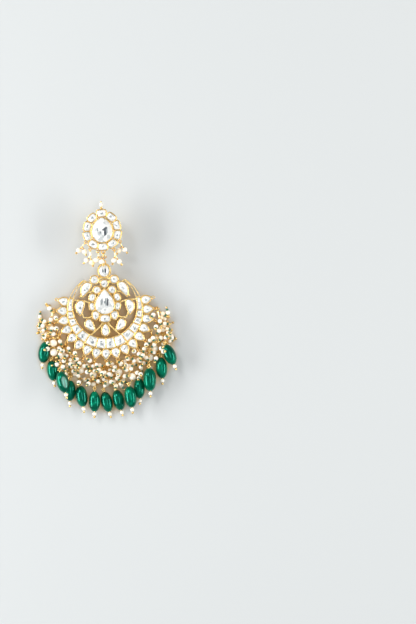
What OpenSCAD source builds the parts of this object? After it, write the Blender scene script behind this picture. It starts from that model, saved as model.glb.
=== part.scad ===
// Chandbali earring, lying face up. Millimetres, +Z is the face's outward side, +Y points to the ear.

/* [Rest] */
// Height of the pendant's back above the surface, at its lower edge
pendant_lift = 1.2; // [0.8:0.1:2.5]
// Rise of the pendant towards its neck, degrees
pendant_pitch = 4; // [2:0.5:6]
// Turn of the pendant, anticlockwise, degrees
pendant_lean = 1.3; // [0:0.1:4]
// Turn of the stud, anticlockwise, degrees
stud_lean = 2.5; // [0:0.1:5]

/* [Ear post] */
// Diameter of the ear post
post_d = 1; // [0.8:0.05:1.3]
// Length of the ear post behind the stud
post_length = 8.5; // [7.5:0.1:9.5]

/* [Gold] */
// Wall of gold round a stone
wall = 0.5; // [0.4:0.05:0.6]
// Wall of gold round the neck stone
neck_wall = 0.8; // [0.6:0.05:1]
// Depth of the stone cups from front to back
cup_depth = 2.4; // [2:0.1:3]
// Gold behind the stones
cup_floor = 0.7; // [0.5:0.05:1]
// Extra height of the collars round the three main stones
collar_rise = 0.5; // [0.2:0.05:0.8]
// Width of the vine wires that join the cups
vine_w = 0.6; // [0.45:0.05:0.8]
// Width of the rails that bound an open horn of the crescent
rail_w = 0.35; // [0.3:0.05:0.45]
// Gap between a stone and its cup
stone_gap = 0.06; // [0.04:0.01:0.1]

/* [Stud] */
// Width of the stud's centre stone
stud_stone_w = 9.4; // [8.6:0.1:9.6]
// Length of the stud's centre stone
stud_stone_l = 11.3; // [10.6:0.1:11.5]
// Width of a petal stone of the stud
stud_petal_w = 4; // [3.6:0.1:4.1]
// Length of a petal stone of the stud, from the centre outwards
stud_petal_l = 3.1; // [2.7:0.1:3.2]
// Length of the finial pin above the stud
finial_length = 3.3; // [3.3:0.1:4]

/* [Flower and neck] */
// Width of the flower's centre stone
flower_stone_w = 8.7; // [8:0.1:9]
// Length of the flower's centre stone
flower_stone_l = 11.3; // [10.8:0.1:11.6]
// Height of the flower's centre above the crescent's centre
flower_rise = 4.5; // [4.3:0.1:4.7]
// Width of the neck stone
neck_stone_w = 4.8; // [4.4:0.1:5]
// Length of the neck stone
neck_stone_l = 5.5; // [5:0.1:5.7]
// Height of the neck stone above the crescent's centre
neck_rise = 18.7; // [18.4:0.1:19.4]
// Diameter of a shoulder stone
shoulder_d = 3.4; // [3:0.1:3.6]

/* [Crescent] */
// Outer radius of the crescent
crescent_r = 17.5; // [17.3:0.1:18]
// Radius of the round window inside the crescent
window_r = 14.7; // [14.5:0.1:14.8]
// Height of the window's centre above the crescent's centre
window_rise = 2.5; // [2.4:0.05:2.6]
// Angle from straight down to the tip of a horn, degrees
horn_angle = 147; // [140:1:150]

/* [Pears] */
// Number of pear stones on the crescent's edge
pear_count = 17; // [15:2:17]
// Angle from one pear to the next, degrees
pear_pitch = 13.1; // [13:0.1:13.3]
// Width of a pear stone
pear_w = 3.5; // [3.2:0.1:3.6]
// Length of a pear stone
pear_l = 4.4; // [4.2:0.1:4.6]

/* [Beads] */
// Diameter of a big pearl
big_pearl_d = 3.5; // [3.2:0.1:3.6]
// Diameter of a middle pearl
mid_pearl_d = 2.6; // [2.3:0.1:2.7]
// Diameter of a pearl of the stud's drops
stud_pearl_d = 2.4; // [2.1:0.1:2.5]
// Diameter of a small pearl on a head pin
small_pearl_d = 2.1; // [1.8:0.1:2.2]
// Diameter of the end pearl under a green bead
end_pearl_d = 1.9; // [1.6:0.1:2]
// Diameter of a green bead
bead_d = 5.6; // [5.2:0.1:5.8]
// Length of a green bead
bead_l = 9.8; // [9:0.1:10]
// Clearance between a wire and the drilled hole round it
hole_clearance = 0.12; // [0.1:0.01:0.15]

/* [Wires and rings] */
// Diameter of the strand wire
wire_d = 0.4; // [0.35:0.01:0.45]
// Mean radius of the small rings
eye_r = 0.62; // [0.6:0.01:0.7]
// Diameter of the gold ball that ends a head pin
ball_d = 1.1; // [0.9:0.05:1.2]
// Wire diameter of the jump rings between stud and pendant
jump_wire_d = 0.5; // [0.4:0.05:0.6]
// Mean radius of the eyelets that hold the jump rings
eyelet_r = 0.8; // [0.75:0.05:0.9]

/* [Hidden] */
// Petals of the stud: place of each stone as shares of the stud's half width and half length
// columns: across, along, heading of its outer end in degrees
stud_petals = [
    [0, 0.785, 90], [0.49, 0.575, 50], [0.75, 0.183, 14], [0.773, -0.25, -18], [0.5, -0.65, -56],
    [0, -0.785, -90], [-0.5, -0.65, -124], [-0.773, -0.25, -162], [-0.75, 0.183, 166], [-0.49, 0.575, 130]
];

// Petals of the flower, right half and then the two on the axis, as shares of the centre stone's length
// columns: across, along, width, length, heading of the point in degrees, point (0 oval, 1 sharp)
flower_petals = [
    [0.305, 0.478, 0.27, 0.27, 62, 0.2], [0.509, 0.173, 0.29, 0.22, 20, 0],
    [0.52, -0.195, 0.29, 0.2, -12, 0], [0.387, -0.568, 0.26, 0.33, -82, 0.7]
];
flower_axis_petals = [
    [0, 0.721, 0.27, 0.3, -90, 0.5], [0, -0.69, 0.4, 0.28, 90, 0.1]
];

// Mango stones inside the window, right half, as shares of the window's radius from its centre
// columns: across, along, width, length, heading of the point in degrees, bend of the point
mangos = [
    [0.612, 0.531, 0.235, 0.48, -62, 0.03], [0.8, -0.04, 0.23, 0.45, -84, 0.05],
    [0.483, -0.612, 0.23, 0.39, -122, 0.03]
];
keel = [0, -0.75, 0.22, 0.36, 90];

// Vine wires of the right half, points as shares of the window's radius from its centre
vines = [
    [[0.33, 0.47], [0.62, 0.42], [0.79, 0.31]],
    [[0.52, 0.7], [0.61, 0.8]],
    [[1.01, 0.2], [0.79, 0.19], [0.6, 0.16], [0.44, 0.09]],
    [[0.73, -0.18], [0.67, -0.36], [0.48, -0.35], [0.32, -0.29]],
    [[0.04, -0.48], [0.14, -0.61], [0.27, -0.74], [0.47, -0.91]]
];

// Edges of the crescent's cells, degrees from straight down
cell_edges = [0, 16, 34.5, 52, 67, 79, 91, 112];

// Kinds of stations on a strand: three sizes of pearl and a bare wrapped eye
BIG = 0;
MID = 1;
SMALL = 2;
EYE = -1;

// Route of each strand from its pear to the green bead, and the places of its head pins, chosen by hand,
// millimetres from the crescent's centre as the earring lies
// columns: number of its pear from the middle one, stations [across, along, kind],
// pins [number of its station, across, along]
strands = [
    [-6, [[-23.5, -5.9, EYE], [-25.3, -7.3, BIG], [-26.9, -10.7, MID]],
        [[1, -28.4, -7.6], [1, -29, -9.6], [0, -22.2, -8]]],
    [-5, [[-21.8, -12, EYE], [-23.8, -14.8, BIG], [-23.6, -19, BIG]],
        [[0, -20.8, -14], [1, -21.2, -17.2], [1, -26.3, -17.4]]],
    [-4, [[-18.8, -16.4, EYE], [-19.5, -20.6, BIG], [-20.3, -24.2, EYE]],
        [[0, -20.7, -17.7], [0, -17, -18.2], [2, -22.2, -24.6], [2, -19.4, -25.6]]],
    [-3, [[-14.4, -20.4, EYE], [-15, -24, MID], [-15.6, -28, EYE]],
        [[0, -16, -22.6], [0, -13.6, -22.4], [1, -17.6, -25], [1, -13.2, -25.8], [2, -13.8, -29.2]]],
    [-2, [[-10.3, -22.6, EYE], [-11.5, -27.4, BIG], [-11.4, -31, EYE]],
        [[0, -11.8, -24], [0, -8.6, -25.2], [1, -8.2, -28], [2, -12, -32.8], [2, -9.4, -31.6]]],
    [-1, [[-5, -24.4, EYE], [-5.6, -29.4, BIG], [-5.4, -33.8, MID]],
        [[0, -7, -22.8], [0, -2.6, -25], [1, -7.6, -33.4], [1, -3.2, -32.4]]],
    [0, [[0.5, -24.8, EYE], [0.6, -29.2, MID], [0.5, -33.1, BIG]],
        [[0, -2.8, -27.2], [0, -1.2, -28.4], [0, 2.2, -27.4], [1, 2.8, -32.6]]],
    [1, [[5.8, -24, EYE], [6.2, -28.2, BIG], [5.6, -32, EYE]],
        [[0, 4.4, -25.8], [0, 7.2, -24.4], [1, 9, -30], [2, 5, -34.4], [2, 7.4, -34.2]]],
    [2, [[11, -22.6, EYE], [11.2, -26, BIG], [12.6, -30.2, BIG]],
        [[0, 13.2, -24], [1, 14.8, -28.4]]],
    [3, [[14.8, -19.2, EYE], [15.5, -22.6, MID], [15.7, -27.1, EYE]],
        [[0, 13.4, -18.4], [0, 16.6, -19.6], [1, 17.6, -24], [2, 16.4, -29]]],
    [4, [[18.8, -15.4, EYE], [19.4, -18.2, EYE], [20.6, -21.4, BIG]],
        [[0, 18, -17.4], [1, 17.4, -20.4]]],
    [5, [[21.4, -11.4, EYE], [22.6, -17.4, BIG], [24.2, -18.9, EYE]],
        [[0, 20.6, -13.6], [0, 23.6, -12.6], [1, 25.8, -17.2], [2, 26.8, -18.6], [2, 23.4, -21.8]]],
    [6, [[23.8, -5.4, EYE], [26.5, -8, BIG], [27.6, -13.2, MID]],
        [[0, 27.4, -5.8], [0, 23.4, -7.2], [1, 25.6, -12.4], [1, 30.4, -11.6]]],
    // the two short clusters beside them, which carry no green bead
    [-7, [[-24.2, -0.6, EYE]], [[0, -25.6, 1.2], [0, -22.4, -3.2], [0, -25, -4]]],
    [7, [[24.2, 0.2, EYE]], [[0, 22.2, -1.8], [0, 26.6, -1.2], [0, 25.2, -4.6]]]
];

// Green beads as they lie, chosen by hand, in the order of the strands
// columns: across, along, degrees that the top leans to the left, share of the bead's size, layer it lies in
beads = [
    [-28, -19, -8, 1, 0], [-24.2, -27.5, 8, 0.96, 0], [-19.4, -32.6, 15, 1.04, 1],
    [-16.2, -36.6, 0, 0.98, 0], [-10.8, -39.2, 9, 1, 0], [-4.9, -41.6, 0, 0.98, 1],
    [0.7, -41.8, 15, 0.98, 0], [6.2, -41, 15, 0.98, 0],
    [11.7, -39.4, 8, 1.02, 1], [15.7, -35.6, 2, 0.96, 0], [20.5, -31.5, 3, 1.1, 1], [25.9, -26.2, 4, 1, 0],
    [29.6, -20, 24, 1.02, 1]
];

// Drops under the stud's edge, chosen by hand, from the stud's centre
// columns: eyelet across and along, knot across and along, height of the pearls over the stud's back,
// pearls [across, along]
stud_drops = [
    [[-7.6, -5.55], [-9.2, -7.6], -0.8, [[-10.8, -9.3], [-8.2, -9.8]]],
    [[-5.55, -8.75], [-5.5, -12], -0.8, [[-7.3, -13.9], [-4.8, -14.7]]],
    [[-2.05, -9.85], [-1.6, -12.1], 0.8, [[-2.9, -13.8], [-0.35, -14.5]]],
    [[5.45, -8.95], [5.9, -11.8], -0.8, [[5.2, -13.9], [7.8, -14.4]]],
    [[8.1, -5.25], [8.9, -7.2], -0.8, [[7.6, -9.4], [10.3, -9]]]
];

function numbered(name, k) = str(name, k < 9 ? "0" : "", k + 1);
bead_count = len(beads);

slack = 0.15;            // play between two links that hook into each other
rest_gap = 0.06;         // gap over what a settled bead rests on
stone_stand = 0.4;       // rise of a small stone's table over its cup
big_stone_stand = 0.9;   // the same for the main stones
table_share = 0.58;      // table of a stone as a share of its outline
seed_bead_h = 0.8;       // length of the seed bead between a small pearl and its ball
outline_sides = 16;      // facets of a pear, an oval or a petal stone
petal_fullness = 0.8;    // how far the flower's petals are squared off, 1 for ovals
stud_petal_fullness = 0.62;
stud_petal_taper = 0.14; // how much wider a petal of the stud is at its outer end
pear_point = 0.85;       // sharpness of a pear stone, 0 for an oval
round_fn = 32;           // smoothness of spheres, rings and bores
wire_sides = 6;
eye_gap = 0.25;          // bare wire between a pearl and the eye beside it
stone_bevel = 0.15;      // depth of a stone's edge inside its cup
collar_step = 0.1;       // step of a collar inside the edge of its cup
finial_boss_d = 1.3;     // gold bead under the finial pearl
finial_ball_d = 0.7;     // ball that ends the finial pin
horn_slot_end = 136;     // where the open slot of a horn closes, degrees from straight down
bead_steps = 14;         // bands of a green bead's outline
pad_h = 0.5;             // plate that carries the ear post
pad_d = 3;

pearl_d = [big_pearl_d, mid_pearl_d, small_pearl_d];
wire_r = wire_d / 2;
jump_r = jump_wire_d / 2;
hole_r = wire_r + hole_clearance;
hook = 2 * eye_r - wire_d - slack;      // distance between two small rings that hook into each other

stud_at = [-1.2, 37.1, post_length];    // back of the stud over the crescent's centre
stud_half_w = stud_stone_w / 2 + wall + stud_petal_l + wall;
stud_half_l = stud_stone_l / 2 + wall + stud_petal_l + wall;
stud_top = stud_half_l * stud_petals[0].y + stud_petal_l / 2 + wall;
pear_ring_r = crescent_r + pear_l / 2 + 0.1;
pear_tip_r = pear_ring_r + pear_l / 2 + wall + eye_r * 0.7;
neck_top = neck_rise + neck_stone_l / 2 + neck_wall;
shoulder_at = [neck_stone_w / 2 + neck_wall + 1.35, neck_rise - neck_stone_l / 2 - 1.35];

function unit(v) = v / norm(v);
function turned(p, a) = [p.x * cos(a) - p.y * sin(a), p.x * sin(a) + p.y * cos(a)];
function mirrored(points) = [for (i = [len(points) - 1:-1:0]) [-points[i].x, points[i].y]];
function polar_down(a, r) = [r * sin(a), -r * cos(a)];

// Outline of an oval or pear round the origin with its point upwards, anticlockwise;
// fullness below 1 squares it off, and taper widens its upper end
function full(v, fullness) = sign(v) * pow(abs(v), fullness);
function drop_outline(w, l, point, bend = 0, sides = outline_sides, fullness = 1, taper = 0) =
    let (raw = [for (i = [0:sides - 1]) let (t = 360 * i / sides)
             [-full(sin(t), fullness) * pow(sin(t / 2), point) * (1 + taper * cos(t)),
              full(cos(t), fullness)]],
         widest = max([for (p = raw) p.x]))
    [for (p = raw) [p.x * w / 2 / widest + bend * p.y * p.y, p.y * l / 2]];

// The outline moved to a place with its point turned to a heading
function laid(outline, at, heading) = [for (p = outline) turned(p, heading - 90) + [at.x, at.y]];

// A point of the pendant's own frame as the earring lies
function on_pendant(p) =
    let (q = turned(p, pendant_lean), a = pendant_pitch)
    [q.x, q.y * cos(a) - p.z * sin(a), pendant_lift + (q.y + pear_tip_r) * sin(a) + p.z * cos(a)];
function on_stud(p) = let (q = turned(p, stud_lean)) stud_at + [q.x, q.y, p.z];

// Outlines of the stones, in the frames of the stud and of the pendant
stud_centre_outline = drop_outline(stud_stone_w, stud_stone_l, 0.32, sides = 24);
stud_petal_outlines = [for (p = stud_petals)
    laid(drop_outline(stud_petal_w, stud_petal_l, 0,
                      fullness = stud_petal_fullness, taper = stud_petal_taper),
         [p.x * stud_half_w, p.y * stud_half_l], p.z)];

function petal_outline(p) =
    laid(drop_outline(p[2] * flower_stone_l, p[3] * flower_stone_l, p[5], fullness = petal_fullness),
         [p.x * flower_stone_l, flower_rise + p.y * flower_stone_l], p[4]);
function window_outline(p, point, bend) =
    laid(drop_outline(p[2] * window_r, p[3] * window_r, point, bend * window_r),
         [p.x * window_r, window_rise + p.y * window_r], p[4]);

flower_centre_outline =
    laid(drop_outline(flower_stone_w, flower_stone_l, 0.9, sides = 24), [0, flower_rise], 90);
petal_outlines = concat([for (p = flower_petals) each [petal_outline(p), mirrored(petal_outline(p))]],
                        [for (p = flower_axis_petals) petal_outline(p)]);
mango_outlines = [for (m = mangos) let (o = window_outline(m, 0.8, m[5])) each [o, mirrored(o)]];
keel_outline = window_outline(keel, 0.5, 0);
neck_outline = laid(drop_outline(neck_stone_w, neck_stone_l, 0), [0, neck_rise], 90);
right_shoulder = laid(drop_outline(shoulder_d, shoulder_d, 0), shoulder_at, 90);
shoulder_outlines = [right_shoulder, mirrored(right_shoulder)];

// Radius of the crescent's inner edge at an angle from straight down
function window_edge(a) = -window_rise * cos(a) + sqrt(pow(window_r, 2) - pow(window_rise * sin(a), 2));

// A stretch of the crescent between two angles, with a margin to its inner and outer edge and its sides
function cell_outline(a, b, margin, side) =
    let (steps = 4, first = a + side / crescent_r * 180 / PI, last = b - side / crescent_r * 180 / PI)
    concat([for (i = [0:steps]) polar_down(first + (last - first) * i / steps, crescent_r - margin)],
           [for (i = [steps:-1:0]) let (t = first + (last - first) * i / steps)
               polar_down(t, window_edge(t) + margin)]);
cell_outlines = [for (i = [0:len(cell_edges) - 2])
    let (c = cell_outline(cell_edges[i], cell_edges[i + 1], wall, wall / 2)) each [c, mirrored(c)]];

// A pear's outline by its number from the middle one, and the ring soldered to its tip
pear_side = (pear_count - 1) / 2;
pear_outlines = [for (n = [-pear_side:pear_side])
    laid(drop_outline(pear_w, pear_l, pear_point),
         polar_down(n * pear_pitch, pear_ring_r), n * pear_pitch - 90)];
function pear_ring(n) = on_pendant(concat(polar_down(n * pear_pitch, pear_tip_r), cup_depth / 2));

small_cup_outlines = concat(petal_outlines, mango_outlines, [keel_outline], shoulder_outlines, pear_outlines);

// Height at which a bead, [across, along, radius, least height], rests on those settled before it
function rest_height(p, settled) =
    let (on_front = norm([p.x, p.y]) < pear_tip_r + eye_r + p.z,
         front = pendant_lift + (p.y + pear_tip_r) * sin(pendant_pitch) + cup_depth + stone_stand)
    max(concat([p.z, p[3], on_front ? front + p.z + rest_gap : 0],
        [for (q = settled) let (reach = p.z + q.z + rest_gap, apart = norm([p.x - q.x, p.y - q.y]))
            if (apart < reach) q[3] + sqrt(reach * reach - apart * apart)]));

// Settles a list of beads one after another; each result is [across, along, radius, height]
function settle(items, settled, i = 0) =
    i == len(items) ? settled :
    let (p = items[i])
    settle(items, concat(settled, [[p.x, p.y, p.z, rest_height(p, settled)]]), i + 1);

// A green bead as a row of spheres along its length, which all share one height
bead_row_shares = [-0.9, -0.7, -0.4, 0, 0.4, 0.7, 0.9];
function bead_axis(b) = turned([0, 1], b[2]);
function bead_row(b) = [for (t = bead_row_shares)
    let (at = [b.x, b.y] + bead_axis(b) * t * (bead_l - bead_d / 2) * b[3] / 2)
    [at.x, at.y, bead_d / 2 * b[3] * sqrt(1 - pow(t * (1 - bead_d / 2 / bead_l), 2)), bead_d / 2 * b[3]]];
bead_order = [for (layer = [0, 1]) for (i = [0:bead_count - 1]) if (beads[i][4] == layer) i];
function settle_rows(n = 0, settled = []) =
    n == bead_count ? settled :
    let (row = bead_row(beads[bead_order[n]]), z = max([for (p = row) rest_height(p, settled)]))
    settle_rows(n + 1, concat(settled, [for (p = row) [p.x, p.y, p.z, z]]));
settled_rows = settle_rows();
function bead_z(k) = settled_rows[search(k, bead_order)[0] * len(bead_row_shares)][3];

// Pearls settle next: those threaded on the strands first, then those on head pins
settled_threaded = settle([for (s = strands) for (p = s[1]) if (p.z != EYE) [p.x, p.y, pearl_d[p.z] / 2, 0]],
                          settled_rows);
function settled_z(p, settled) = [for (q = settled) if (q.x == p.x && q.y == p.y) q[3]][0];

// Middle of a green bead and centre of the ring over it
function bead_at(k) = [beads[k].x, beads[k].y, bead_z(k)];
function bead_up(k) = concat(bead_axis(beads[k]), 0);
function bead_size(k) = beads[k][3];
function bead_ring(k) = bead_at(k) + bead_up(k) * (bead_l * bead_size(k) / 2 + eye_gap + eye_r);

// Height of a station: a pearl lies where it settled, an eye midway between what comes before and after it
function height_at(k, j, step) =
    j < 0 ? pear_ring(strands[k].x).z :
    j >= len(strands[k].y) ? (k < bead_count ? bead_z(k) : pear_ring(strands[k].x).z) :
    strands[k].y[j].z == EYE ? height_at(k, j + step, step) :
    settled_z(strands[k].y[j], settled_threaded);
function stations(k) = [for (j = [0:len(strands[k].y) - 1]) let (p = strands[k].y[j])
    [p.x, p.y, (height_at(k, j, -1) + height_at(k, j, 1)) / 2]];

// Centre of a ring that hooks into the one at c and leads on towards p
function hooked(c, p) = c + unit([p.x - c.x, p.y - c.y, 0]) * hook;
function ring_exit(c, p) = c + unit(p - c) * eye_r;

// Half the length of straight wire in a station, and the direction of the wire there
function station_half(k, j) = let (kind = strands[k].y[j].z) kind == EYE ? 0 : pearl_d[kind] / 2 + eye_gap;
function station_way(k, j) = let (at = stations(k), last = len(at) - 1)
    unit((j < last ? at[j + 1] : k < bead_count ? bead_ring(k) : 2 * at[j] - pear_ring(strands[k].x))
         - (j > 0 ? at[j - 1] : pear_ring(strands[k].x)));
function station_exit(k, j) = stations(k)[j] + station_way(k, j) * station_half(k, j);

// Points of a strand's upper wire, from the ring at the pear to the ring over the green bead
function upper_wire(k) =
    let (at = stations(k), last = len(at) - 1, top = hooked(pear_ring(strands[k].x), at[0]))
    concat([ring_exit(top, at[0])],
           [for (j = [0:last]) each station_half(k, j) == 0 ? [at[j]] :
               [2 * at[j] - station_exit(k, j), station_exit(k, j)]],
           k >= bead_count ? [] :
               [ring_exit(hooked(bead_ring(k), station_exit(k, last)), station_exit(k, last))]);

// Spheres [across, along, height, radius] that stand for a wire, and for a head pin beyond its root
function wire_spheres(a, b, start = 0) =
    [for (t = [start:0.5:norm(b - a)]) concat(a + unit(b - a) * t, wire_r)];
pin_beyond = small_pearl_d / 2 + seed_bead_h + ball_d / 2;
function pin_end(root, pearl) = pearl + unit(pearl - root) * pin_beyond;
function pin_spheres(root, pearl) =
    concat(wire_spheres(root, pin_end(root, pearl), 0.8),
           [concat(pearl, small_pearl_d / 2), concat(pin_end(root, pearl), ball_d / 2)]);

// What the head pins have to clear
low_rings = [for (k = [0:bead_count - 1]) hooked(bead_ring(k), station_exit(k, len(strands[k].y) - 1))];
top_rings = [for (k = [0:len(strands) - 1]) hooked(pear_ring(strands[k].x), stations(k)[0])];
bead_rings = [for (k = [0:bead_count - 1]) bead_ring(k)];
laid_spheres = concat(
    [for (q = settled_threaded) [q.x, q.y, q[3], q.z]],
    [for (c = concat(low_rings, top_rings, bead_rings)) concat(c, eye_r + wire_r)],
    [for (k = [0:bead_count - 1]) concat(end_pearl_at(k), end_pearl_d / 2)],
    [for (k = [0:bead_count - 1]) concat(end_ball_at(k), ball_d / 2)],
    [for (k = [0:len(strands) - 1]) let (w = upper_wire(k)) for (i = [1:len(w) - 1])
        each wire_spheres(w[i - 1], w[i])]);

// Head pins lie one over another: each is lifted until it clears all that was laid before it
function is_clear(spheres, others) = len([for (a = spheres) for (b = others)
    if (norm([a.x - b.x, a.y - b.y, a.z - b.z]) < a[3] + b[3] + rest_gap) 1]) == 0;
function lifted(root, pearl, others) =
    pearl.z > root.z + 8 || is_clear(pin_spheres(root, pearl), others) ? pearl :
    lifted(root, pearl + [0, 0, 0.25], others);
pins = [for (k = [0:len(strands) - 1]) for (p = strands[k].z) [k, station_exit(k, p.x), [p.y, p.z]]];
function lay_pins(i, laid_pins, spheres) =
    i == len(pins) ? laid_pins :
    let (root = pins[i][1], at = pins[i][2],
         near = [for (b = spheres) let (apart = norm([b.x - root.x, b.y - root.y]))
                    if (apart < 7 && (apart > 0.8 || b[3] > 2 * wire_r)) b],
         pearl = lifted(root, concat(at, rest_height([at.x, at.y, small_pearl_d / 2, root.z], [])), near))
    lay_pins(i + 1, concat(laid_pins, [[pins[i][0], root, pearl, pin_end(root, pearl)]]),
             concat(spheres, pin_spheres(root, pearl)));
laid_pins = lay_pins(0, [], laid_spheres);
function strand_pins(k) = [for (p = laid_pins) if (p[0] == k) [p[1], p[2], p[3]]];

// The pin through a green bead: its end pearl and end ball
function end_pearl_at(k) = bead_at(k) - bead_up(k) * (bead_l * bead_size(k) / 2 + end_pearl_d / 2);
function end_ball_at(k) = end_pearl_at(k) - bead_up(k) * (end_pearl_d / 2 + ball_d * 0.45);

// Drops under the stud
function stud_point(p, rise) = [stud_at.x + p.x, stud_at.y + p.y, stud_at.z + rise];
function drop_ring(d) = stud_point(d[0], cup_floor / 2);
function drop_knot(d) = stud_point(d[1], cup_floor / 2 + d[2] / 2);
function drop_pins(d) = [for (p = d[3]) let (pearl = stud_point(p, d[2]))
    [drop_knot(d), pearl, pearl + unit(pearl - drop_knot(d)) * ((stud_pearl_d + ball_d) / 2 + rest_gap)]];

// Eyelets of the stud and of the pendant, and the three jump rings between them: the outer two lead
// on level from the eyelets and the middle one bridges the step
stud_bottom = stud_half_l * 0.785 + stud_petal_l / 2 + wall;
stud_eyelet = on_stud([0, -stud_bottom - eyelet_r * 0.5, cup_floor / 2]);
pendant_eyelet = on_pendant([0, neck_top + eyelet_r * 0.5, cup_depth / 2]);
link_way = unit([pendant_eyelet.x - stud_eyelet.x, pendant_eyelet.y - stud_eyelet.y, 0]);
link_side = cross(link_way, [0, 0, 1]);
link_run = norm([pendant_eyelet.x - stud_eyelet.x, pendant_eyelet.y - stud_eyelet.y]);
link_drop = stud_eyelet.z - pendant_eyelet.z;
play = 4 * jump_r + 2 * slack;
level_run = link_run - 2 * eyelet_r + play;
jump_ring_r = (2 * play - level_run
    + sqrt(pow(level_run - 2 * play, 2) + 3 * (pow(level_run, 2) + pow(link_drop, 2) - pow(play, 2)))) / 6;
eyelet_pitch = eyelet_r + jump_ring_r - 2 * jump_r - slack;
jump_top = stud_eyelet + link_way * eyelet_pitch;
jump_low = pendant_eyelet - link_way * eyelet_pitch;

// Middle of the base, from what reaches furthest on each side
balls = concat([for (k = [0:len(strands) - 1]) for (p = strand_pins(k)) p[2]],
               [for (k = [0:bead_count - 1]) end_ball_at(k)]);
function bead_reach(b) = b[3] * norm([bead_d / 2 * cos(b[2]), bead_l / 2 * sin(b[2])]);
x_low = min(concat([for (b = balls) b.x - ball_d / 2], [for (b = beads) b.x - bead_reach(b)]));
x_high = max(concat([for (b = balls) b.x + ball_d / 2], [for (b = beads) b.x + bead_reach(b)]));
y_low = min([for (b = balls) b.y - ball_d / 2]);
finial_tip = on_stud([0, stud_top + finial_length, cup_depth / 2]);
middle = [(x_low + x_high) / 2, (y_low + finial_tip.y + finial_ball_d / 2) / 2, 0];

gold = [0.93, 0.74, 0.38];
clear_stone = [0.93, 0.94, 0.95];
pearl_white = [0.96, 0.92, 0.85];
green_stone = [0.02, 0.42, 0.3];

// General shapes

module orient(way) {
    rotate([0, acos(way.z / norm(way)), atan2(way.y, way.x)]) children();
}

module rod(a, b, r) {
    translate(a) orient(b - a) cylinder(h = norm(b - a), r = r, $fn = wire_sides);
}

module ball(at, d) {
    translate(at) sphere(d = d, $fn = round_fn);
}

module ring(at, normal, mean_r, r) {
    translate(at) orient(normal) rotate_extrude($fn = round_fn)
        translate([mean_r, 0]) circle(r, $fn = round_fn);
}

module wire(points) {
    for (i = [1:len(points) - 1]) rod(points[i - 1], points[i], wire_r);
}

// A ball on the end of a wire that comes from the direction of its root
module end_ball(at, d, way) {
    translate(at) orient(way) sphere(d = d, $fn = round_fn);
}

// The wraps that close a wire's eye
module knot(at) {
    translate(at) sphere(d = wire_d * 1.6, $fn = wire_sides);
}

module drilled_pearl(at, d, way) {
    translate(at) orient(way) difference() {
        sphere(d = d, $fn = round_fn);
        cylinder(h = 2 * d, r = hole_r, center = true, $fn = round_fn);
    }
}

// A straight head pin with its end ball
module pin(p) {
    rod(p[0], p[2], wire_r);
    end_ball(p[2], ball_d, p[2] - p[0]);
}

module bar(a, b, w) {
    translate(a) rotate([0, 0, atan2(b.y - a.y, b.x - a.x)]) translate([0, -w / 2]) square([norm(b - a), w]);
    for (p = [a, b]) translate(p) circle(d = w, $fn = round_fn / 2);
}

module both_sides() {
    children();
    mirror([1, 0, 0]) children();
}

module cups(outlines, thickness) {
    for (o = outlines) offset(delta = thickness) polygon(o);
}

module pockets(outlines) {
    translate([0, 0, cup_floor]) linear_extrude(2 * cup_depth) cups(outlines, stone_gap);
}

// Stones: straight to the edge of the cup, then facets up to the flat table
module stones(outlines, edge_z, stand) {
    low = cup_floor + stone_gap;
    edge = edge_z - stone_bevel;
    for (o = outlines) {
        n = len(o);
        centre = [for (v = [0, 1]) [for (p = o) p[v]] * [for (p = o) 1] / n];
        table = [for (p = o) centre + (p - centre) * table_share];
        polyhedron(
            points = [for (p = o) [p.x, p.y, low], for (p = o) [p.x, p.y, edge],
                      for (p = table) [p.x, p.y, edge_z + stand]],
            faces = [[for (i = [0:n - 1]) i], [for (i = [n - 1:-1:0]) 2 * n + i],
                     for (r = [0, n]) for (i = [0:n - 1]) let (j = (i + 1) % n)
                         [r + i, r + n + i, r + n + j, r + j]]);
    }
}

module place_pendant() {
    translate([0, 0, pendant_lift + pear_tip_r * sin(pendant_pitch)])
        rotate([pendant_pitch, 0, 0]) rotate([0, 0, pendant_lean]) children();
}

module place_stud() {
    translate(stud_at) rotate([0, 0, stud_lean]) children();
}

// Puts the middle of the earring's base on the origin
module place_all() {
    translate(-middle) children();
}

// Stud

module ear_post() {
    top = stud_at.z - stone_gap;
    color(gold) translate([stud_at.x, stud_at.y, 0]) {
        translate([0, 0, post_d / 2]) cylinder(h = top - post_d / 2, d = post_d, $fn = round_fn);
        translate([0, 0, post_d / 2]) sphere(d = post_d, $fn = round_fn);
        translate([0, 0, top - pad_h]) cylinder(h = pad_h, d = pad_d, $fn = round_fn);
    }
}

module stud_plan() {
    offset(delta = 0) {
        cups([stud_centre_outline], wall);
        cups(stud_petal_outlines, wall);
    }
}

module stud_setting() {
    color(gold) {
        place_stud() {
            difference() {
                union() {
                    linear_extrude(cup_depth) stud_plan();
                    linear_extrude(cup_depth + collar_rise) cups([stud_centre_outline], wall - collar_step);
                }
                pockets([stud_centre_outline]);
                pockets(stud_petal_outlines);
            }
            rod([0, stud_top - wall / 2, cup_depth / 2],
                [0, stud_top + finial_length, cup_depth / 2], wire_r);
            ball([0, stud_top + finial_boss_d * 0.2, cup_depth / 2], finial_boss_d);
            ball([0, stud_top + finial_length, cup_depth / 2], finial_ball_d);
        }
        ring(stud_eyelet, [0, 0, 1], eyelet_r, jump_r);
        for (d = stud_drops) {
            ring(drop_ring(d), [0, 0, 1], eye_r, wire_r);
            rod(stud_point(d[0] * 0.7, cup_floor / 2), drop_ring(d) - unit(concat(d[0], 0)) * eye_r, wire_r);
        }
    }
}

module stud_centre_stone() {
    color(clear_stone) place_stud() stones([stud_centre_outline], cup_depth + collar_rise, big_stone_stand);
}

module stud_petal_stones() {
    color(clear_stone) place_stud() stones(stud_petal_outlines, cup_depth, stone_stand);
}

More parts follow.
